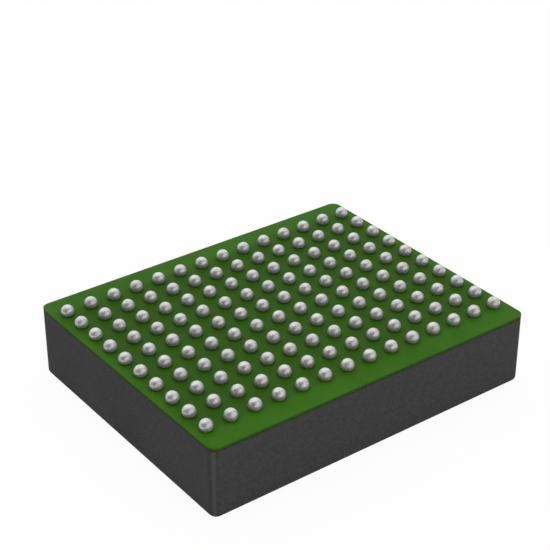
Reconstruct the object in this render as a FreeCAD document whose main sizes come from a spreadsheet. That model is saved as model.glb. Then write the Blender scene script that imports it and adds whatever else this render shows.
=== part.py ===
import FreeCAD
import Part
import Sketcher

import math
import os

from FreeCAD import Placement, Rotation, Vector

# A moulded ball grid array package, lying on its flat moulded face with the balls up.
# The origin is the middle of that face, X runs along the long side and Z points up.
# From the bottom: moulding, solder mask, copper, laminate core, copper, solder mask, balls.

DRIVING_SIZES = {
    # ball grid
    "ball_columns": 14,
    "ball_rows": 10,
    "ball_pitch": 0.8,
    "edge_margin_x": 0.425,
    "edge_margin_y": 0.9,
    "ball_diameter": 0.4,
    "ball_standoff": 0.3,
    "land_diameter": 0.44,
    # outer body
    "corner_radius": 0.25,
    "mould_height": 2.19,
    "mould_edge_radius": 0.15,
    # laminate
    "core_thickness": 0.06,
    "copper_thickness": 0.015,
    "mask_thickness": 0.035,
    "via_diameter": 0.1,
    "via_pad_diameter": 0.22,
    # bond fingers, in a ring that lies between two lines of balls
    "ring_columns": 4,
    "ring_rows": 3,
    "bonded_lines": 6,
    "finger_length": 0.35,
    "finger_width": 0.12,
    "trace_width": 0.08,
    "window_margin": 0.03,
    "paddle_gap": 0.075,
    "plane_margin": 0.15,
    "strip_width": 0.6,
    # die
    "die_length": 4.6,
    "die_width": 3.4,
    "die_thickness": 0.28,
    "attach_thickness": 0.03,
    "attach_rim": 0.03,
    # bond wires
    "pad_pitch": 0.25,
    "pad_inset": 0.1,
    "wire_diameter": 0.025,
    "bond_ball_diameter": 0.06,
    "bond_ball_height": 0.018,
    "loop_height": 0.16,
    "loop_flat": 0.3,
    "neck_bend_radius": 0.05,
    "shoulder_bend_radius": 0.2,
    "heel_bend_radius": 0.06,
    "stitch_length": 0.09,
    # capacitors
    "capacitor_length": 1.0,
    "capacitor_width": 0.5,
    "capacitor_height": 0.5,
    "capacitor_land_gap": 0.4,
    "termination_length": 0.25,
    "termination_wall": 0.015,
    "solder_film": 0.02,
    "solder_reach": 0.15,
    "solder_climb": 0.28,
    "solder_curve_radius": 0.32,
}

WORKED_OUT_SIZES = {
    "grid_half_length": "(ball_columns - 1) * ball_pitch / 2",
    "grid_half_width": "(ball_rows - 1) * ball_pitch / 2",
    "body_length": "(ball_columns - 1) * ball_pitch + 2 * edge_margin_x",
    "body_width": "(ball_rows - 1) * ball_pitch + 2 * edge_margin_y",
    # levels of the stack
    "die_copper_level": "mould_height + mask_thickness - copper_thickness",
    "core_level": "mould_height + mask_thickness",
    "land_level": "mould_height + mask_thickness + core_thickness",
    "land_top_level": "mould_height + mask_thickness + core_thickness + copper_thickness",
    "mask_over_copper": "mask_thickness - copper_thickness",
    # a ball is a sphere cut flat by its land
    "ball_radius": "ball_diameter / 2",
    "ball_centre_height": "ball_standoff + mask_thickness - copper_thickness - ball_diameter / 2",
    # bond finger ring
    "finger_pitch": "ball_pitch / 2",
    "ring_x": "ring_columns * ball_pitch",
    "ring_y": "ring_rows * ball_pitch",
    "window_length": "(bonded_lines - 0.5) * ball_pitch + finger_width + 2 * window_margin",
    "window_width": "finger_length + 2 * window_margin",
    "paddle_length": "2 * ring_columns * ball_pitch - finger_length - 2 * paddle_gap",
    "paddle_width": "2 * ring_rows * ball_pitch - finger_length - 2 * paddle_gap",
    "attach_length": "die_length + 2 * attach_rim",
    "attach_width": "die_width + 2 * attach_rim",
    # outer copper, from the last line of bonded balls to the grid's edge
    "plane_inner_x": "(bonded_lines + 1) * ball_pitch / 2 - plane_margin",
    "plane_outer_x": "(ball_columns - 1) * ball_pitch / 2 + plane_margin",
    "plane_length": "plane_outer_x - plane_inner_x",
    "plane_x": "(plane_outer_x + plane_inner_x) / 2",
    "plane_inner_y": "ring_rows * ball_pitch + capacitor_land_gap / 2",
    "plane_outer_y": "(ball_rows - 1) * ball_pitch / 2 + plane_margin",
    "plane_width": "plane_outer_y - plane_inner_y",
    "plane_y": "(plane_outer_y + plane_inner_y) / 2",
    "strip_length": "2 * ring_rows * ball_pitch - capacitor_land_gap",
    "strip_x": "(ball_columns - 1) * ball_pitch / 2 + plane_margin - strip_width / 2",
    # capacitors
    "ceramic_length": "capacitor_length - 2 * termination_wall",
    "ceramic_width": "capacitor_width - 2 * termination_wall",
    "ceramic_height": "capacitor_height - 2 * termination_wall",
    "capacitor_half_length": "capacitor_length / 2",
    "solder_toe": "capacitor_length / 2 + solder_reach",
    "solder_inner_edge": "capacitor_length / 2 - termination_length",
    "joint_length": "termination_length + solder_reach + 2 * window_margin",
    "joint_width": "capacitor_width + 2 * window_margin",
    "joint_offset": "capacitor_length / 2 + (solder_reach - termination_length) / 2",
}

# Letters that name the rows of balls in turn, without those that are easily misread.
ROW_LETTERS = "abcdefghjklmnprtuvwy"

# Signs of X and Y for the place of each capacitor.
CAPACITOR_CORNERS = {1: ("-", ""), 2: ("", ""), 3: ("-", "-"), 4: ("", "-")}

# Half pitches from the finger ring to the two lines of balls beyond it.
NEAR_LINE = 1
FAR_LINE = 3

FULL_TURN = 360
NO_LENGTH = 1e-6

doc = FreeCAD.newDocument("ball_grid_array")
dimensions = doc.addObject("Spreadsheet::Sheet", "dimensions")
layout = doc.addObject("Spreadsheet::Sheet", "layout")


def fill_sheets():
    """Plain numbers go in the first sheet, and what follows from them in the second."""
    for line, (name, size) in enumerate(DRIVING_SIZES.items(), 1):
        dimensions.set(f"A{line}", name)
        dimensions.set(f"B{line}", str(size))
        dimensions.setAlias(f"B{line}", name)
    doc.recompute()
    for line, (name, formula) in enumerate(WORKED_OUT_SIZES.items(), 1):
        words = [f"dimensions.{word}" if word in DRIVING_SIZES else word for word in spaced(formula)]
        layout.set(f"A{line}", name)
        layout.set(f"B{line}", "=" + " ".join(words))
        layout.setAlias(f"B{line}", name)
    doc.recompute()


def spaced(formula):
    """A formula's words, with its brackets apart."""
    return formula.replace("(", "( ").replace(")", " )").split()


def size(name):
    """A size as a number."""
    sheet = dimensions if name in DRIVING_SIZES else layout
    return float(getattr(sheet, name))


def formula_of(name):
    """The expression that binds a property to a size."""
    return ("dimensions." if name in DRIVING_SIZES else "layout.") + name


# Drawing and placing


def new_body(name):
    body = doc.addObject("PartDesign::Body", name)
    body.Label = name
    body.AllowCompound = True
    return body


def origin_feature(body, role):
    return next(feature for feature in body.Origin.OriginFeatures if feature.Role == role)


def new_sketch(body, name, role="XY_Plane", x=None, y=None, z=None):
    """A sketch on one of the body's own planes, moved on it by expressions."""
    sketch = body.newObject("Sketcher::SketchObject", f"{body.Name}_{name}")
    sketch.AttachmentSupport = [(origin_feature(body, role), "")]
    sketch.MapMode = "FlatFace"
    for axis, formula in (("x", x), ("y", y), ("z", z)):
        if formula:
            sketch.setExpression(f"AttachmentOffset.Base.{axis}", formula)
    return sketch


def place(item, x=None, y=None, z=None):
    for axis, formula in (("x", x), ("y", y), ("z", z)):
        if formula:
            item.setExpression(f"Placement.Base.{axis}", formula)


def bind(sketch, kind, points, name):
    """One measured constraint, held to a size."""
    index = sketch.addConstraint(Sketcher.Constraint(kind, *points, size(name)))
    sketch.setExpression(f"Constraints[{index}]", formula_of(name))


def draw_outline(sketch, corners):
    """A closed outline of straight sides, joined at their ends."""
    first = sketch.GeometryCount
    for start, end in zip(corners, corners[1:] + corners[:1]):
        sketch.addGeometry(Part.LineSegment(start, end))
    for side in range(len(corners)):
        following = first + (side + 1) % len(corners)
        sketch.addConstraint(Sketcher.Constraint("Coincident", first + side, 2, following, 1))


def draw_rectangle(sketch, length, width):
    """A rectangle centred on the sketch's origin."""
    x, y = size(length) / 2, size(width) / 2
    corners = [Vector(-x, -y, 0), Vector(x, -y, 0), Vector(x, y, 0), Vector(-x, y, 0)]
    draw_outline(sketch, corners)
    for side, direction in enumerate(("Horizontal", "Vertical", "Horizontal", "Vertical")):
        sketch.addConstraint(Sketcher.Constraint(direction, side))
    sketch.addConstraint(Sketcher.Constraint("Symmetric", 0, 1, 1, 2, -1, 1))
    bind(sketch, "DistanceX", (0, 1, 0, 2), length)
    bind(sketch, "DistanceY", (1, 1, 1, 2), width)


def draw_circle(sketch, diameter):
    circle = Part.Circle(Vector(0, 0, 0), Vector(0, 0, 1), size(diameter) / 2)
    sketch.addGeometry(circle)
    sketch.addConstraint(Sketcher.Constraint("Coincident", 0, 3, -1, 1))
    bind(sketch, "Diameter", (0,), diameter)


def add_pad(body, sketch, name, length, midplane=False):
    pad = body.newObject("PartDesign::Pad", f"{body.Name}_{name}")
    pad.Profile = sketch
    pad.Midplane = midplane
    pad.setExpression("Length", formula_of(length))
    doc.recompute()
    return pad


def add_pocket(body, sketch, name):
    """A cut right through, both ways from the sketch."""
    pocket = body.newObject("PartDesign::Pocket", f"{body.Name}_{name}")
    pocket.Profile = sketch
    pocket.Type = "ThroughAll"
    pocket.Midplane = True
    doc.recompute()
    return pocket


def repeat_over_grid(body, features):
    """Repeats features from the grid's first ball to all its columns and rows."""
    array = body.newObject("PartDesign::MultiTransform", f"{body.Name}_grid")
    array.Originals = features
    steps = []
    for name, axis, count in (("along", "X_Axis", "ball_columns"), ("across", "Y_Axis", "ball_rows")):
        steps.append(add_line_of(body, name, axis, count))
    array.Transformations = steps
    body.Tip = array
    doc.recompute()


def add_line_of(body, name, axis, count):
    line = body.newObject("PartDesign::LinearPattern", f"{body.Name}_{name}")
    line.Direction = (origin_feature(body, axis), [""])
    line.Mode = "Spacing"
    line.setExpression("Offset", "dimensions.ball_pitch")
    line.setExpression("Occurrences", formula_of(count))
    return line


def mirror(body, features, roles):
    """Repeats features across the body's own planes."""
    array = body.newObject("PartDesign::MultiTransform", f"{body.Name}_{features[0].Name}_sides")
    array.Originals = features
    steps = []
    for role in roles:
        step = body.newObject("PartDesign::Mirrored", f"{body.Name}_{features[0].Name}_{role[:2]}")
        step.MirrorPlane = (origin_feature(body, role), [""])
        steps.append(step)
    array.Transformations = steps
    body.Tip = array
    doc.recompute()


def round_edges(body, base, name, radius, chosen):
    """Rounds the edges of a feature for which chosen is true."""
    fillet = body.newObject("PartDesign::Fillet", f"{body.Name}_{name}")
    edges = [f"Edge{i}" for i, edge in enumerate(base.Shape.Edges, 1) if chosen(edge)]
    fillet.Base = (base, edges)
    fillet.setExpression("Radius", formula_of(radius))
    body.Tip = fillet
    doc.recompute()


def stands_upright(edge):
    start, end = edge.Vertexes[0].Point, edge.Vertexes[-1].Point
    return len(edge.Vertexes) == 2 and math.hypot(end.x - start.x, end.y - start.y) < NO_LENGTH


def lies_at_bottom(edge):
    return edge.BoundBox.ZMax < NO_LENGTH


def body_sheet(name, thickness, level=None):
    """A layer of the package's outline, with its four upright corners rounded."""
    body = new_body(name)
    sketch = new_sketch(body, "outline")
    draw_rectangle(sketch, "body_length", "body_width")
    pad = add_pad(body, sketch, "sheet", thickness)
    round_edges(body, pad, "corners", "corner_radius", stands_upright)
    if level:
        place(body, z=formula_of(level))
    return body


def first_ball(role="XY_Plane"):
    """Expressions that put a sketch at the grid's first ball, in the front left corner."""
    if role == "XY_Plane":
        return {"x": "-layout.grid_half_length", "y": "-layout.grid_half_width"}
    return {"x": "-layout.grid_half_length", "z": "layout.grid_half_width"}


# Balls and the ball side of the laminate


def draw_ball_zone(sketch, top):
    """Half of a ball's section, from its land up to a height, or to its pole with no height."""
    radius, centre = size("ball_radius"), size("ball_centre_height")
    start = math.asin(-centre / radius)
    end = math.asin((size(top) - centre) / radius) if top else math.pi / 2
    sketch.addGeometry(
        Part.ArcOfCircle(Part.Circle(Vector(0, centre, 0), Vector(0, 0, 1), radius), start, end)
    )
    low = Vector(radius * math.cos(start), 0, 0)
    high = Vector(radius * math.cos(end), centre + radius * math.sin(end), 0)
    corners = [high, Vector(0, high.y, 0), Vector(0, 0, 0), low]
    if not top:
        corners = corners[1:]
    for begin, finish in zip(corners, corners[1:]):
        sketch.addGeometry(Part.LineSegment(begin, finish))
    last = sketch.GeometryCount - 1
    sketch.addConstraint(Sketcher.Constraint("Coincident", 0, 2, 1, 1))
    for side in range(1, last):
        sketch.addConstraint(Sketcher.Constraint("Coincident", side, 2, side + 1, 1))
    sketch.addConstraint(Sketcher.Constraint("Coincident", last, 2, 0, 1))
    sketch.addConstraint(Sketcher.Constraint("Coincident", last, 1, -1, 1))
    sketch.addConstraint(Sketcher.Constraint("Horizontal", last))
    sketch.addConstraint(Sketcher.Constraint("Vertical", last - 1))
    sketch.addConstraint(Sketcher.Constraint("PointOnObject", 0, 3, -2))
    bind(sketch, "DistanceY", (-1, 1, 0, 3), "ball_centre_height")
    bind(sketch, "Radius", (0,), "ball_radius")
    if top:
        sketch.addConstraint(Sketcher.Constraint("Horizontal", 1))
        bind(sketch, "DistanceY", (-1, 1, 0, 2), top)


def make_ball_row(number, letter):
    """One lettered row of solder balls, each reflowed onto its land."""
    body = new_body(f"solder_balls_row_{letter}")
    sketch = new_sketch(body, "section", "XZ_Plane")
    draw_ball_zone(sketch, None)
    ball = body.newObject("PartDesign::Revolution", f"{body.Name}_ball")
    ball.Profile = sketch
    ball.ReferenceAxis = (sketch, ["V_Axis"])
    ball.Angle = FULL_TURN
    doc.recompute()
    row = add_line_of(body, "row", "Y_Axis", "ball_rows")
    row.Originals = [ball]
    body.Tip = row
    place(
        body,
        x=f"{number} * dimensions.ball_pitch - layout.grid_half_length",
        y="-layout.grid_half_width",
        z="layout.land_top_level",
    )
    doc.recompute()
    return body


def make_ball_lands():
    """Copper discs under the balls, overlapped by the solder mask."""
    body = new_body("ball_lands")
    sketch = new_sketch(body, "disc", **first_ball())
    draw_circle(sketch, "land_diameter")
    repeat_over_grid(body, [add_pad(body, sketch, "land", "copper_thickness")])
    place(body, z="layout.land_level")
    return body


def make_ball_side_mask():
    """Green mask over core and lands, open over each land where its ball has wetted the wall."""
    body = body_sheet("ball_side_solder_mask", "mask_thickness", "land_level")
    disc = new_sketch(body, "land_recess", **first_ball())
    draw_circle(disc, "land_diameter")
    recess = body.newObject("PartDesign::Pocket", f"{body.Name}_recess")
    recess.Profile = disc
    recess.Reversed = True
    recess.setExpression("Length", "dimensions.copper_thickness")
    doc.recompute()
    section = new_sketch(
        body, "opening_section", "XZ_Plane", y="dimensions.copper_thickness", **first_ball("XZ_Plane")
    )
    draw_ball_zone(section, "mask_over_copper")
    opening = body.newObject("PartDesign::Groove", f"{body.Name}_opening")
    opening.Profile = section
    opening.ReferenceAxis = (section, ["V_Axis"])
    opening.Angle = FULL_TURN
    doc.recompute()
    repeat_over_grid(body, [recess, opening])
    return body


def make_core():
    """The glass and resin sheet, drilled at each ball."""
    body = body_sheet("laminate_core", "core_thickness", "core_level")
    sketch = new_sketch(body, "drill", **first_ball())
    draw_circle(sketch, "via_diameter")
    repeat_over_grid(body, [add_pocket(body, sketch, "hole")])
    return body


def make_vias():
    """Filled copper vias from the land of each ball to the die side."""
    body = new_body("laminate_vias")
    sketch = new_sketch(body, "post", **first_ball())
    draw_circle(sketch, "via_diameter")
    repeat_over_grid(body, [add_pad(body, sketch, "fill", "core_thickness")])
    place(body, z="layout.core_level")
    return body


# Copper and mask on the die side

SIDES = {
    # name: (turn about Z that brings the back side there, distance of the finger ring)
    "back": (0, "ring_y"),
    "right": (-90, "ring_x"),
    "front": (180, "ring_y"),
    "left": (90, "ring_x"),
}


def make_copper_sheet(name, length, width, x=None, y=None, roles=()):
    """A rectangle of die side copper, with its mirror images."""
    body = new_body(name)
    sketch = new_sketch(body, "outline", x=x, y=y)
    draw_rectangle(sketch, length, width)
    pad = add_pad(body, sketch, "copper", "copper_thickness")
    if roles:
        mirror(body, [pad], roles)
    place(body, z="layout.die_copper_level")
    return body


def nets_of_a_side(ring):
    """(finger, via) places of one side's nets, in order, as if it were the back side."""
    half_pitch = size("ball_pitch") / 2
    count = round(size("bonded_lines"))
    for line in range(count):
        via_x = (2 * line + 1 - count) * half_pitch
        for beside, line_beyond in ((-1, NEAR_LINE), (1, FAR_LINE)):
            finger = Vector(via_x + beside * size("finger_pitch") / 2, ring, 0)
            yield finger, Vector(via_x, ring + line_beyond * half_pitch, 0)


def trace_shape(finger, via):
    """A bond finger, its trace with one slanted end, and the pad over its via."""
    thickness = Vector(0, 0, size("copper_thickness"))
    length, width = size("finger_length"), size("finger_width")
    corner = finger - Vector(width / 2, length / 2, 0)
    shape = Part.makeBox(width, length, thickness.z, corner)
    bend = Vector(finger.x, via.y - abs(via.x - finger.x), 0)
    middle_line = Part.makePolygon([finger, bend, via])
    band = middle_line.makeOffset2D(size("trace_width") / 2, 0, False, False)
    trace = Part.Face(band).extrude(thickness)
    pad = Part.makeCylinder(size("via_pad_diameter") / 2, thickness.z, via)
    return shape.fuse([trace, pad]).removeSplitter()


def make_signal_traces():
    """Forty-eight nets from the bond fingers to the vias of the two lines of balls beyond."""
    nets = []
    for angle, ring in SIDES.values():
        for finger, via in nets_of_a_side(size(ring)):
            net = trace_shape(finger, via)
            nets.append(net.rotated(Vector(0, 0, 0), Vector(0, 0, 1), angle))
    item = doc.addObject("Part::Feature", "signal_traces")
    item.Shape = Part.makeCompound(nets)
    place(item, z="layout.die_copper_level")
    return item


def make_die_side_mask(copper):
    """Green mask over the die side copper, with windows on the fingers and capacitor lands."""
    body = body_sheet("die_side_mask_sheet", "mask_thickness", "mould_height")
    for name, length, width, x, y, role in (
        ("back", "window_length", "window_width", None, "layout.ring_y", "XZ_Plane"),
        ("right", "window_width", "window_length", "layout.ring_x", None, "YZ_Plane"),
    ):
        sketch = new_sketch(body, f"{name}_window", x=x, y=y)
        draw_rectangle(sketch, length, width)
        mirror(body, [add_pocket(body, sketch, f"{name}_cut")], [role])
    joints = []
    for name, sign in (("outer", "+"), ("inner", "-")):
        sketch = new_sketch(
            body, f"{name}_joint", x="layout.strip_x", y=f"layout.ring_y {sign} layout.joint_offset"
        )
        draw_rectangle(sketch, "joint_width", "joint_length")
        joints.append(add_pocket(body, sketch, f"{name}_joint_cut"))
    mirror(body, joints, ["YZ_Plane", "XZ_Plane"])
    return cut("die_side_solder_mask", body, fuse("die_side_copper", copper))


def fuse(name, items):
    union = doc.addObject("Part::MultiFuse", name)
    union.Shapes = items
    doc.recompute()
    return union


def cut(name, base, tool):
    item = doc.addObject("Part::Cut", name)
    item.Base = base
    item.Tool = tool
    doc.recompute()
    return item


# Die and bond wires


def make_block(name, length, width, height, z):
    """A plain block on the middle of the package."""
    block = doc.addObject("Part::Box", name)
    for side, bound in (("Length", length), ("Width", width), ("Height", height)):
        block.setExpression(side, formula_of(bound))
    place(block, f"-{formula_of(length)} / 2", f"-{formula_of(width)} / 2", z)
    return block


def make_die():
    level = "dimensions.mould_height - dimensions.attach_thickness - dimensions.die_thickness"
    return make_block("silicon_die", "die_length", "die_width", "die_thickness", level)


def make_die_attach():
    level = "dimensions.mould_height - dimensions.attach_thickness"
    return make_block("die_attach_film", "attach_length", "attach_width", "attach_thickness", level)


def rounded_path(points, radii):
    """Straight runs between points, joined by tangent arcs of the given radii."""
    edges = []
    start = points[0]
    for before, corner, after, radius in zip(points, points[1:], points[2:], radii):
        arriving = (corner - before).normalize()
        leaving = (after - corner).normalize()
        turn = arriving.getAngle(leaving)
        setback = radius * math.tan(turn / 2)
        begin, finish = corner - arriving * setback, corner + leaving * setback
        inward = (leaving - arriving).normalize()
        middle = corner + inward * (radius / math.cos(turn / 2) - radius)
        edges.append(Part.LineSegment(start, begin).toShape())
        edges.append(Part.Arc(begin, middle, finish).toShape())
        start = finish
    edges.append(Part.LineSegment(start, points[-1]).toShape())
    return Part.Wire(edges)


def wire_shape(pad, finger, drop):
    """A gold wire from a die pad, over its loop, to a finger that lies drop above the die face.

    The loop hangs down here, because the die faces the moulded side.
    """
    radius = size("wire_diameter") / 2
    run = finger - pad
    reach = run.Length
    ahead = Vector(run.x, run.y, 0).normalize()
    down = Vector(0, 0, -1)
    foot = drop - radius / 2
    stitch = size("stitch_length")

    def at(along, height):
        return pad + ahead * along + down * height

    points = [
        at(0, 0),
        at(0, size("loop_height")),
        at(size("loop_flat") * reach, size("loop_height")),
        at(reach - stitch / 2, -foot),
        at(reach + stitch / 2, -foot),
    ]
    bends = [size(f"{name}_bend_radius") for name in ("neck", "shoulder", "heel")]
    section = Part.Wire(Part.makeCircle(radius, points[0], down))
    wire = rounded_path(points, bends).makePipeShell([section], True, False)
    beyond = Part.makeBox(2 * reach, 2 * reach, reach, at(reach, -drop) - Vector(reach, reach, 0))
    wire = wire.cut(beyond)
    ball_radius, ball_height = size("bond_ball_diameter") / 2, size("bond_ball_height")
    rise = math.degrees(math.asin(ball_height / 2 / ball_radius))
    ball = Part.makeSphere(ball_radius, at(0, ball_height / 2), down, -rise, rise, FULL_TURN)
    return wire.fuse(ball).removeSplitter()


def make_bond_wires(side):
    """Twelve bond wires along one side of the die."""
    angle, ring = SIDES[side]
    die_side = "die_width" if ring == "ring_y" else "die_length"
    edge = size(die_side) / 2 - size("pad_inset")
    face = size("mould_height") - size("attach_thickness") - size("die_thickness")
    drop = size("die_copper_level") - face
    nets = list(nets_of_a_side(size(ring)))
    wires = []
    for number, (finger, via) in enumerate(nets):
        pad = Vector((number - (len(nets) - 1) / 2) * size("pad_pitch"), edge, 0)
        wire = wire_shape(pad, finger, drop)
        wires.append(wire.rotated(Vector(0, 0, 0), Vector(0, 0, 1), angle))
    item = doc.addObject("Part::Feature", f"bond_wires_{side}")
    item.Shape = Part.makeCompound(wires)
    item.Placement = Placement(Vector(0, 0, face), Rotation())
    return item


# Capacitors, drawn standing on their lands with their length along X


def capacitor_body(number, piece):
    """A body turned over onto the die side, with its length along the package's Y."""
    body = new_body(f"capacitor_{number}_{piece}")
    body.Placement = Placement(Vector(0, 0, 0), Rotation(Vector(1, 1, 0), 180))
    across, along = CAPACITOR_CORNERS[number]
    place(body, f"{across}layout.strip_x", f"{along}layout.ring_y", "layout.die_copper_level")
    return body


def make_ceramic(number):
    """The layered ceramic block."""
    body = capacitor_body(number, "ceramic")
    sketch = new_sketch(body, "outline", z="dimensions.solder_film + dimensions.termination_wall")
    draw_rectangle(sketch, "ceramic_length", "ceramic_width")
    add_pad(body, sketch, "block", "ceramic_height")
    return body


def make_terminations(number):
    """Plated metal caps over both ends of the ceramic."""
    body = capacitor_body(number, "terminations")
    middle = "dimensions.solder_film + dimensions.capacitor_height / 2"
    outer = new_sketch(
        body, "outline", "YZ_Plane", y=middle,
        z="dimensions.capacitor_length / 2 - dimensions.termination_length",
    )
    draw_rectangle(outer, "capacitor_width", "capacitor_height")
    cap = add_pad(body, outer, "cap", "termination_length")
    inner = new_sketch(
        body, "socket", "YZ_Plane", y=middle, z="layout.ceramic_length / 2"
    )
    draw_rectangle(inner, "ceramic_width", "ceramic_height")
    socket = body.newObject("PartDesign::Pocket", f"{body.Name}_socket_cut")
    socket.Profile = inner
    socket.setExpression("Length", "dimensions.termination_length")
    doc.recompute()
    mirror(body, [cap, socket], ["YZ_Plane"])
    return body


def make_solder_joints(number):
    """Solder under each termination and up its end face, with a hollow curve."""
    body = capacitor_body(number, "solder")
    sketch = new_sketch(body, "section", "XZ_Plane")
    film = size("solder_film")
    toe = Vector(size("solder_toe"), 0, 0)
    top = Vector(size("capacitor_half_length"), size("solder_climb"), 0)
    inner = Vector(size("solder_inner_edge"), 0, 0)
    corners = [toe, inner, Vector(inner.x, film, 0), Vector(top.x, film, 0), top]
    for begin, finish in zip(corners, corners[1:]):
        sketch.addGeometry(Part.LineSegment(begin, finish))
    sketch.addGeometry(hollow_arc(top, toe, size("solder_curve_radius")))
    for side, direction in enumerate(("Horizontal", "Vertical", "Horizontal", "Vertical")):
        sketch.addConstraint(Sketcher.Constraint(direction, side))
        sketch.addConstraint(Sketcher.Constraint("Coincident", side, 2, side + 1, 1))
    sketch.addConstraint(Sketcher.Constraint("Coincident", 4, 2, 0, 1))
    sketch.addConstraint(Sketcher.Constraint("PointOnObject", 0, 1, -1))
    bind(sketch, "DistanceX", (-1, 1, 0, 1), "solder_toe")
    bind(sketch, "DistanceX", (-1, 1, 0, 2), "solder_inner_edge")
    bind(sketch, "DistanceX", (-1, 1, 2, 2), "capacitor_half_length")
    bind(sketch, "DistanceY", (1, 1, 1, 2), "solder_film")
    bind(sketch, "DistanceY", (-1, 1, 3, 2), "solder_climb")
    bind(sketch, "Radius", (4,), "solder_curve_radius")
    joint = add_pad(body, sketch, "joint", "capacitor_width", midplane=True)
    mirror(body, [joint], ["YZ_Plane"])
    return body


def hollow_arc(start, end, radius):
    """An arc between two points that curves in towards the corner below them."""
    chord = end - start
    outward = Vector(-chord.y, chord.x, 0).normalize()
    centre = (start + end) / 2 + outward * math.sqrt(radius**2 - (chord.Length / 2) ** 2)
    angles = [math.atan2(point.y - centre.y, point.x - centre.x) % math.tau for point in (start, end)]
    return Part.ArcOfCircle(Part.Circle(centre, Vector(0, 0, 1), radius), *angles)


# The moulding


def make_mould(inside):
    """Black moulding compound, one block round everything on the laminate's die side."""
    body = body_sheet("mould_block", "core_level")
    round_edges(body, body.Tip, "face_edges", "mould_edge_radius", lies_at_bottom)
    return cut("mould_cap", body, fuse("moulded_in", inside))


def check(items):
    """Stops before anything is written if an object failed or a shape is unsound."""
    for item in doc.Objects:
        if {"Invalid", "Error"} & set(item.State):
            raise RuntimeError(f"{item.Name} is {item.State}")
    for item in items:
        if item.Shape.isNull() or not item.Shape.isValid() or not item.Shape.Solids:
            raise RuntimeError(f"{item.Label} has no sound solid")


def export(items):
    os.makedirs("parts", exist_ok=True)
    for item in items:
        item.Shape.exportStep(f"parts/{item.Label}.step")
        print(f"{item.Label}: {len(item.Shape.Solids)} solids, {item.Shape.Volume:.4f} mm3")


fill_sheets()

both_ways = ["YZ_Plane", "XZ_Plane"]
ground_paddle = make_copper_sheet("ground_paddle", "paddle_length", "paddle_width")
signal_traces = make_signal_traces()
supply_planes = make_copper_sheet(
    "supply_planes", "plane_length", "plane_width", "layout.plane_x", "layout.plane_y", both_ways
)
ground_strips = make_copper_sheet(
    "ground_strips", "strip_width", "strip_length", "layout.strip_x", None, ["YZ_Plane"]
)
die_copper = [ground_paddle, signal_traces, supply_planes, ground_strips]
die_side_mask = make_die_side_mask(die_copper)

die = [make_die(), make_die_attach()]
doc.recompute()
bond_wires = [make_bond_wires(side) for side in SIDES]
capacitors = []
for number in CAPACITOR_CORNERS:
    capacitors += [make_ceramic(number), make_terminations(number), make_solder_joints(number)]

inside = [die_side_mask, *die_copper, *die, *bond_wires, *capacitors]
mould_cap = make_mould(inside)
laminate = [make_core(), make_vias(), make_ball_lands(), make_ball_side_mask()]
letters = ROW_LETTERS[: round(size("ball_columns"))]
ball_rows = [make_ball_row(number, letter) for number, letter in enumerate(letters)]

doc.recompute()
sub_parts = [mould_cap, *inside, *laminate, *ball_rows]
check(sub_parts)
export(sub_parts)
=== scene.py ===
import math

import bmesh
import bpy
from mathutils import Matrix, Vector


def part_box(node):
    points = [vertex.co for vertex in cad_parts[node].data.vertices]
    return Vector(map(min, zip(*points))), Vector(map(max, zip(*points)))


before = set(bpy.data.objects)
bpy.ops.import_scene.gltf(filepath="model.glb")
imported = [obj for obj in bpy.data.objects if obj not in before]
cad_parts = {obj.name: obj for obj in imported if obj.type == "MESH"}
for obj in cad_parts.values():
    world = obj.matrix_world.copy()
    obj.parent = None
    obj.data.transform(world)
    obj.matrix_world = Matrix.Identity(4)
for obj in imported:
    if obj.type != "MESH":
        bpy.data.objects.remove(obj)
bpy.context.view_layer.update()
scene = bpy.context.scene
scene.view_settings.view_transform = "Standard"

MM = 0.001


# Moulded block
# The black block is epoxy filled with silica, pressed round the die and its wires in one shot.
# Its faces come off the mould with a fine dull grain, and its upright corners carry a painted highlight
# down the middle of each rounding.


class Wired:
    """A node's output that can stand in an expression."""

    def __init__(self, nodes, socket):
        self.nodes, self.socket = nodes, socket

    def maths(self, operation, *values):
        return self.nodes.node("ShaderNodeMath", {"operation": operation}, *values)

    def __add__(self, other):
        return self.maths("ADD", self, other)

    def __radd__(self, other):
        return self.maths("ADD", other, self)

    def __sub__(self, other):
        return self.maths("SUBTRACT", self, other)

    def __mul__(self, other):
        return self.maths("MULTIPLY", self, other)

    def __rmul__(self, other):
        return self.maths("MULTIPLY", other, self)

    def __mod__(self, other):
        return self.maths("FLOORED_MODULO", self, other)

    def __pow__(self, other):
        return self.maths("POWER", self, other)

    def __abs__(self):
        return self.maths("ABSOLUTE", self)


class Nodes:
    """A node tree, built node by node."""

    def __init__(self, tree):
        self.tree = tree

    def node(self, kind, settings=None, *values, output=0, **sockets):
        """A node with its settings made first, then values or links put on its sockets."""
        node = self.tree.nodes.new(kind)
        for name, value in (settings or {}).items():
            setattr(node, name, value)
        for key, value in [*enumerate(values), *sockets.items()]:
            self.put(node.inputs[key.replace("_", " ") if isinstance(key, str) else key], value)
        return Wired(self, node.outputs[output])

    def put(self, socket, value):
        if isinstance(value, Wired):
            self.tree.links.new(value.socket, socket)
        else:
            socket.default_value = value

    def blend(self, mask, first, second):
        """One colour going over into another."""
        return self.node("ShaderNodeMix", {"data_type": "RGBA"}, output=2, Factor=mask, A=first, B=second)

    def spread(self, mask, start, end, low=0.0, high=1.0):
        """A mask stretched softly, from low at one of its values to high at another."""
        return self.node(
            "ShaderNodeMapRange", {"interpolation_type": "SMOOTHSTEP"},
            Value=mask, From_Min=start, From_Max=end, To_Min=low, To_Max=high,
        )


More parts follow.
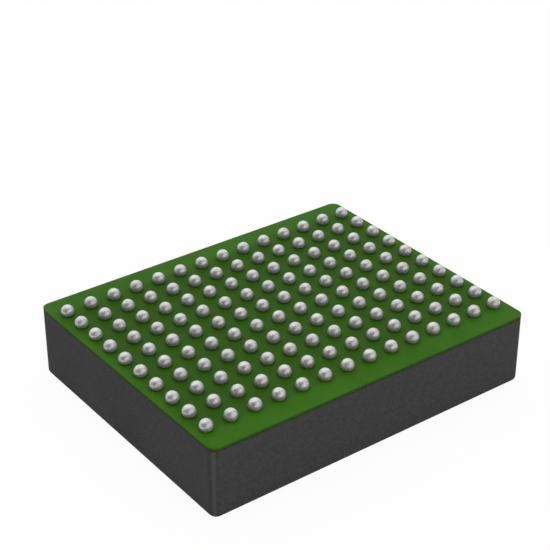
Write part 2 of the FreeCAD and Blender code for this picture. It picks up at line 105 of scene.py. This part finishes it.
class Finish(Nodes):
    """A surface finish, on the object's own coordinates."""

    def __init__(self, name, **constants):
        self.material = bpy.data.materials.new(name)
        self.material.use_nodes = True
        super().__init__(self.material.node_tree)
        self.surface = self.tree.nodes["Principled BSDF"]
        self.place = self.node("ShaderNodeTexCoord", output="Object")
        self.set(**constants)

    def set(self, **sockets):
        """Values or links for the shader's own sockets."""
        for name, value in sockets.items():
            self.put(self.surface.inputs[name.replace("_", " ")], value)

    def noise(self, scale, detail=2.0):
        """Noise from 0 to 1, with a number of waves to the metre."""
        return self.node("ShaderNodeTexNoise", Vector=self.place, Scale=scale, Detail=detail)

    def along(self, axis):
        return self.node("ShaderNodeSeparateXYZ", None, self.place, output=axis)

    def relief(self, height, depth):
        """Relief of a real depth, in metres."""
        self.set(Normal=self.node("ShaderNodeBump", Height=height, Distance=depth))


def paint(finish, *nodes):
    """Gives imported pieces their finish."""
    for node in nodes:
        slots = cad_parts[node].data.materials
        for index in range(len(slots)):
            slots[index] = finish.material


# The part of a noise's range that a spread stretches over its own.
NOISE_SPAN = 0.3, 0.7

MOULD_BLACK = (0.043, 0.043, 0.043, 1)
MOULD_GREY = (0.07, 0.069, 0.07, 1)
MOULD_CORNER_HIGHLIGHT = (0.1, 0.1, 0.101, 1)
CORNER_RADIUS = 0.25 * MM
FILLER_GRAIN = 24000.0
MOULD_GRAIN = 9000.0
MOULD_CLOUD = 500.0
MOULD_GRAIN_DEPTH = 0.003 * MM
MOULD_ROUGH = 0.6, 0.72
FILLER_SHARE = 0.65
GRAIN_SHARE = 0.25
CLOUD_SHARE = 0.1
SPECKLE_SPAN = 0.36, 0.64
CORNER_HIGHLIGHT_SPAN = 0.4 * CORNER_RADIUS, 0.7 * CORNER_RADIUS
CORNER_HIGHLIGHT_SHARE = 0.8

moulding = Finish("moulding_compound", Specular_IOR_Level=0.06)
far_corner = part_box("mould_cap")[1]
filler = moulding.noise(FILLER_GRAIN, detail=3.0)
grain = moulding.noise(MOULD_GRAIN, detail=3.0)
cloud = moulding.noise(MOULD_CLOUD)
past_x = abs(moulding.along("X")) - (far_corner.x - CORNER_RADIUS)
past_y = abs(moulding.along("Y")) - (far_corner.y - CORNER_RADIUS)
# painted highlight: a lighter band down the middle of each rounded upright corner
corner_highlight = moulding.spread(past_x.maths("MINIMUM", past_x, past_y), *CORNER_HIGHLIGHT_SPAN)
mixed_grain = filler * FILLER_SHARE + grain * GRAIN_SHARE + cloud * CLOUD_SHARE
speckled = moulding.blend(moulding.spread(mixed_grain, *SPECKLE_SPAN), MOULD_BLACK, MOULD_GREY)
moulding.set(
    Base_Color=moulding.blend(corner_highlight * CORNER_HIGHLIGHT_SHARE, speckled, MOULD_CORNER_HIGHLIGHT),
    Roughness=moulding.spread(cloud, *NOISE_SPAN, *MOULD_ROUGH),
)
moulding.relief(filler, MOULD_GRAIN_DEPTH)
paint(moulding, "mould_cap")


# Die and its attach film
# The chip itself is a thin slab of polished silicon, glued face out on the laminate.
# A film of filled resin holds it, squeezed out a little all round.

SILICON_TONES = (0.12, 0.13, 0.17, 1), (0.2, 0.2, 0.25, 1)
FILM_TONES = (0.4, 0.38, 0.33, 1), (0.55, 0.52, 0.46, 1)
SHEEN_FINENESS = 2.0


def mottled(name, tones, grain, smooth, rough, **constants):
    """A finish that wanders between two colours and two roughnesses; grain is in waves to the metre."""
    finish = Finish(name, **constants)
    finish.set(
        Base_Color=finish.blend(finish.noise(grain), *tones),
        Roughness=finish.spread(finish.noise(grain * SHEEN_FINENESS), *NOISE_SPAN, smooth, rough),
    )
    return finish


silicon = mottled("silicon", SILICON_TONES, grain=4000.0, smooth=0.12, rough=0.25, Metallic=0.35)
paint(silicon, "silicon_die")
paint(mottled("die_attach", FILM_TONES, grain=12000.0, smooth=0.5, rough=0.75), "die_attach_film")


# Bond wires
# Gold wire of a hair's width runs from each pad on the die over a loop to its finger.
# It is balled by a spark at the die and pressed flat at the finger.

GOLD_TONES = (0.85, 0.55, 0.16, 1), (1.0, 0.74, 0.3, 1)

wire_gold = mottled("gold", GOLD_TONES, grain=20000.0, smooth=0.15, rough=0.3, Metallic=1.0)
paint(wire_gold, *(f"bond_wires_{side}" for side in ("back", "right", "front", "left")))


# Capacitors
# Four small layered ceramic blocks steady the supply, one near each corner.
# Both ends are dipped and plated with tin, and soldered to their lands.

CERAMIC_TONES = (0.3, 0.19, 0.11, 1), (0.46, 0.31, 0.2, 1)
TIN_TONES = (0.6, 0.6, 0.58, 1), (0.76, 0.76, 0.74, 1)
JOINT_TONES = (0.5, 0.5, 0.5, 1), (0.68, 0.68, 0.68, 1)
CAPACITORS = 4

ceramic = mottled("capacitor_ceramic", CERAMIC_TONES, grain=16000.0, smooth=0.4, rough=0.6)
tin = mottled("tin_plate", TIN_TONES, grain=30000.0, smooth=0.35, rough=0.5, Metallic=1.0)
joint = mottled("inner_solder", JOINT_TONES, grain=25000.0, smooth=0.25, rough=0.4, Metallic=1.0)
for number in range(1, CAPACITORS + 1):
    paint(ceramic, f"capacitor_{number}_ceramic")
    paint(tin, f"capacitor_{number}_terminations")
    paint(joint, f"capacitor_{number}_solder")


# Copper of the laminate
# Foil on both faces is etched to lands, planes and fine traces, joined by filled vias.
# The fingers that take the wires are plated with nickel and gold.

COPPER_TONES = (0.62, 0.26, 0.13, 1), (0.86, 0.45, 0.27, 1)
PLATED_TONES = (0.76, 0.47, 0.15, 1), (0.95, 0.66, 0.27, 1)

copper = mottled("copper", COPPER_TONES, grain=6000.0, smooth=0.3, rough=0.5, Metallic=1.0)
paint(copper, "ball_lands", "laminate_vias", "ground_paddle", "supply_planes", "ground_strips")
plated = mottled("gold_plated_copper", PLATED_TONES, grain=8000.0, smooth=0.25, rough=0.4, Metallic=1.0)
paint(plated, "signal_traces")


# Laminate core and solder mask
# The core is woven glass in resin, sawn at its edge and seen there as a dark green line.
# Liquid mask is cured over both faces, and swells a little over the rim of each copper land.
# Painted shade darkens it between the balls against the margin, and a darker painted shadow lies close
# round each ball.

CORE_DARK = (0.025, 0.056, 0.014, 1)
CORE_GREEN = (0.038, 0.084, 0.02, 1)
MASK_DEEP = (0.034, 0.128, 0.004, 1)
MASK_GREEN = (0.042, 0.152, 0.007, 1)
MASK_GRID_SHADE = (0.029, 0.099, 0.004, 1)
MASK_SHADED = (0.018, 0.054, 0.003, 1)
DIE_SIDE_DEEP = (0.022, 0.036, 0.014, 1)
DIE_SIDE_GREEN = (0.030, 0.048, 0.019, 1)
MASK_CLOUD = 1100.0
MASK_RIPPLE = 9000.0
GLASS_WEAVE = 14000.0
BALL_PITCH = 0.8 * MM
BALL_RADIUS = 0.2 * MM
LAND_RADIUS = 0.22 * MM
OUTER_BALLS = 6.5 * BALL_PITCH, 4.5 * BALL_PITCH
CORE_SPAN = 0.35, 0.65
CORE_ROUGH = 0.6, 0.8
WEAVE_DEPTH = 0.004 * MM
MASK_ROUGH = 0.34, 0.5
GRID_FADE = 0.321 * MM
SHADE_SPAN = BALL_RADIUS + 0.09 * MM, BALL_RADIUS - 0.02 * MM
SWELL_SPAN = LAND_RADIUS + 0.04 * MM, LAND_RADIUS - 0.02 * MM
GRID_SHADE_SHARE = 0.9
SHADED_SHARE = 0.55
RIPPLE_SHARE = 0.12
MASK_SWELL = 0.006 * MM
DIE_SIDE_RIPPLE = 0.001 * MM

core = Finish("laminate", Specular_IOR_Level=0.03)
weave = core.noise(GLASS_WEAVE, detail=3.0)
core.set(
    Base_Color=core.blend(core.spread(weave, *CORE_SPAN), CORE_DARK, CORE_GREEN),
    Roughness=core.spread(weave, *NOISE_SPAN, *CORE_ROUGH),
)
core.relief(weave, WEAVE_DEPTH)
paint(core, "laminate_core")


def cured_mask(name, deep, green):
    """A finish of cured mask, in two tones that drift into each other."""
    mask = Finish(name, Specular_IOR_Level=0.03)
    mask.tone = mask.blend(mask.spread(mask.noise(MASK_CLOUD, detail=4.0), *NOISE_SPAN), deep, green)
    mask.set(Roughness=mask.spread(mask.noise(MASK_RIPPLE), *NOISE_SPAN, *MASK_ROUGH))
    return mask


ball_side = cured_mask("ball_side_mask", MASK_DEEP, MASK_GREEN)
across = ball_side.along("X") % BALL_PITCH - BALL_PITCH / 2
up = ball_side.along("Y") % BALL_PITCH - BALL_PITCH / 2
from_ball = (across * across + up * up) ** 0.5
in_grid = 1.0
for axis, outer in zip("XY", OUTER_BALLS):
    beyond = abs(ball_side.along(axis)) - outer
    in_grid = in_grid * ball_side.spread(beyond, GRID_FADE, 0.0)
# painted shadow: the mask darkens in a ring close round each ball
painted_ball_shadow = ball_side.spread(from_ball, *SHADE_SPAN)
over_land = ball_side.spread(from_ball, *SWELL_SPAN)
# painted shade: the mask is darkened inside the grid of balls, where the balls would shade it
grid_shaded = ball_side.blend(in_grid * GRID_SHADE_SHARE, ball_side.tone, MASK_GRID_SHADE)
ball_side.set(Base_Color=ball_side.blend(painted_ball_shadow * in_grid * SHADED_SHARE, grid_shaded, MASK_SHADED))
ball_side.relief(over_land * in_grid + ball_side.noise(MASK_RIPPLE) * RIPPLE_SHARE, MASK_SWELL)
paint(ball_side, "ball_side_solder_mask")

die_side = cured_mask("die_side_mask", DIE_SIDE_DEEP, DIE_SIDE_GREEN)
die_side.set(Base_Color=die_side.tone)
die_side.relief(die_side.noise(MASK_RIPPLE), DIE_SIDE_RIPPLE)
paint(die_side, "die_side_solder_mask")


# Solder balls
# Each ball is tin with a little silver and copper, dropped on its land and melted once.
# It cools satin bright, with a fine frost of crystals and a duller patch here and there.

SOLDER_BRIGHT = (0.63, 0.62, 0.635, 1)
SOLDER_DULL = (0.51, 0.475, 0.525, 1)
# painted reflection: the gloss is tinted green, as if the rims mirrored the green mask round them
SOLDER_GREEN_REFLECTION = (0.82, 1.0, 0.8, 1)
SOLDER_PATCH = 9000.0
SOLDER_FROST = 60000.0
SOLDER_DIMPLE = 14000.0
PATCH_SPAN = 0.42, 0.62
PATCH_SHARE = 0.6
SHEEN_SPAN = 0.2, 0.8
ROUGH_FROM_PATCH = 0.7
ROUGH_FROM_FROST = 0.3
RELIEF_FROM_FROST = 0.4
RELIEF_FROM_DIMPLE = 0.6
SOLDER_ROUGH = 0.22, 0.38
SOLDER_RELIEF = 0.006 * MM
BALL_ROWS = "abcdefghjklmnp"

solder = Finish("solder", Metallic=0.55, Specular_Tint=SOLDER_GREEN_REFLECTION)
patches = solder.spread(solder.noise(SOLDER_PATCH, detail=3.0), *PATCH_SPAN)
frost = solder.noise(SOLDER_FROST, detail=3.0)
dulled = patches * ROUGH_FROM_PATCH + frost * ROUGH_FROM_FROST
solder.set(
    Base_Color=solder.blend(patches * PATCH_SHARE, SOLDER_BRIGHT, SOLDER_DULL),
    Roughness=solder.spread(dulled, *SHEEN_SPAN, *SOLDER_ROUGH),
)
dimples = solder.noise(SOLDER_DIMPLE)
solder.relief(frost * RELIEF_FROM_FROST + dimples * RELIEF_FROM_DIMPLE, SOLDER_RELIEF)
for letter in BALL_ROWS:
    paint(solder, f"solder_balls_row_{letter}")


# Set
# The package lies on a white sheet, under one soft lamp above and behind and one low in front.
# The room in the balls is lighter above and behind, dimmer about the camera, at the right and low in front.
# The camera itself sees plain white past the sheet, and nearly plain white on it.

WHITE = (1, 1, 1, 1)
FLOOR_RADIUS = 0.4
FLOOR_DROP = 0.002 * MM
FLOOR_SHOWN = 0.96
FLOOR_SIDES = 64
SHEET_WHITE = (0.9, 0.9, 0.9, 1)
SHEET_ROUGH = 0.9

sheet_mesh = bmesh.new()
bmesh.ops.create_circle(
    sheet_mesh, cap_ends=True, segments=FLOOR_SIDES, radius=FLOOR_RADIUS,
    matrix=Matrix.Translation((0, 0, -FLOOR_DROP)),
)
floor = bpy.data.objects.new("white_sheet", bpy.data.meshes.new("white_sheet"))
sheet_mesh.to_mesh(floor.data)
sheet_mesh.free()
scene.collection.objects.link(floor)

sheet = Finish("white_sheet")
sheet.set(Base_Color=SHEET_WHITE, Roughness=SHEET_ROUGH)
rays = ("Is Camera Ray", "Is Glossy Ray", "Is Transmission Ray")
seen, mirrored, through = (sheet.node("ShaderNodeLightPath", output=ray) for ray in rays)
glow = sheet.node("ShaderNodeEmission", Color=WHITE, Strength=1.0)
lit = Wired(sheet, sheet.surface.outputs["BSDF"])
mixed = sheet.node("ShaderNodeMixShader", None, (seen + mirrored + through) * FLOOR_SHOWN, lit, glow)
sheet.put(sheet.tree.nodes["Material Output"].inputs["Surface"], mixed)
floor.data.materials.append(sheet.material)

FRONT = Vector((-0.75, -0.4, 0.5)).normalized()
RIGHT = Vector((0.82, -0.52, 0.2)).normalized()
LOW = Vector((0.2, -0.95, 0.12)).normalized()
BEHIND = Vector((0.2, 0.62, 0.75)).normalized()
ROOM_LEVEL = 0.54
ROOM_FRONT = -0.42
ROOM_RIGHT = -0.4
ROOM_LOW = -0.36
ROOM_BEHIND = 0.72
FRONT_SPAN = 0.5, 0.88
RIGHT_SPAN = 0.78, 0.97
LOW_SPAN = 0.75, 0.97
BEHIND_SPAN = 0.3, 0.85

room = bpy.data.worlds.new("room")
room.use_nodes = True
scene.world = room
air = Nodes(room.node_tree)
direction = air.node("ShaderNodeTexCoord", output="Generated")


def towards(way, start, end):
    """How far a direction lies towards one side of the room, from 0 to 1."""
    facing = air.node("ShaderNodeVectorMath", {"operation": "DOT_PRODUCT"}, direction, way, output="Value")
    return air.spread(facing, start, end)


light = ROOM_LEVEL + towards(BEHIND, *BEHIND_SPAN) * ROOM_BEHIND
light = light + towards(FRONT, *FRONT_SPAN) * ROOM_FRONT
light = light + towards(RIGHT, *RIGHT_SPAN) * ROOM_RIGHT
light = light + towards(LOW, *LOW_SPAN) * ROOM_LOW
to_camera = air.node("ShaderNodeLightPath", output="Is Camera Ray")
air.put(room.node_tree.nodes["Background"].inputs["Color"], air.blend(to_camera, light, WHITE))

PACKAGE = (0.0, 0.0, 0.0)
KEY_PLACE = (0.0, 0.07, 0.1)
KEY_WIDTH = 0.16
KEY_HEIGHT = 0.12
KEY_WATTS = 0.016
FILL_PLACE = (0.03, -0.1, 0.045)
FILL_WIDTH = 0.28
FILL_HEIGHT = 0.1
FILL_WATTS = 0.078


def softbox(name, place, aim, width, height, watts):
    """A flat lamp, aimed at a point."""
    lamp = bpy.data.lights.new(name, "AREA")
    lamp.shape, lamp.size, lamp.size_y, lamp.energy = "RECTANGLE", width, height, watts
    item = bpy.data.objects.new(name, lamp)
    item.location = place
    item.rotation_euler = (Vector(aim) - Vector(place)).to_track_quat("-Z", "Y").to_euler()
    scene.collection.objects.link(item)


softbox("key", KEY_PLACE, PACKAGE, KEY_WIDTH, KEY_HEIGHT, KEY_WATTS)
softbox("fill", FILL_PLACE, PACKAGE, FILL_WIDTH, FILL_HEIGHT, FILL_WATTS)


# Camera
# It stands in front and to the left, looking down at the nearest corner through a long lens.

LENS = 100.0
SENSOR = 36.0
CAMERA_PLACE = Vector((-23.383, -30.938, 25.95)) * MM
CAMERA_DOWN = 30.043
CAMERA_TURN = 36.80
NEAR_CLIP = 1 * MM
FAR_CLIP = 10

eye = bpy.data.cameras.new("camera")
eye.lens, eye.sensor_width = LENS, SENSOR
eye.clip_start, eye.clip_end = NEAR_CLIP, FAR_CLIP
camera = bpy.data.objects.new("camera", eye)
camera.location = CAMERA_PLACE
camera.rotation_euler = (math.radians(90 - CAMERA_DOWN), 0, math.radians(-CAMERA_TURN))
scene.collection.objects.link(camera)
scene.camera = camera
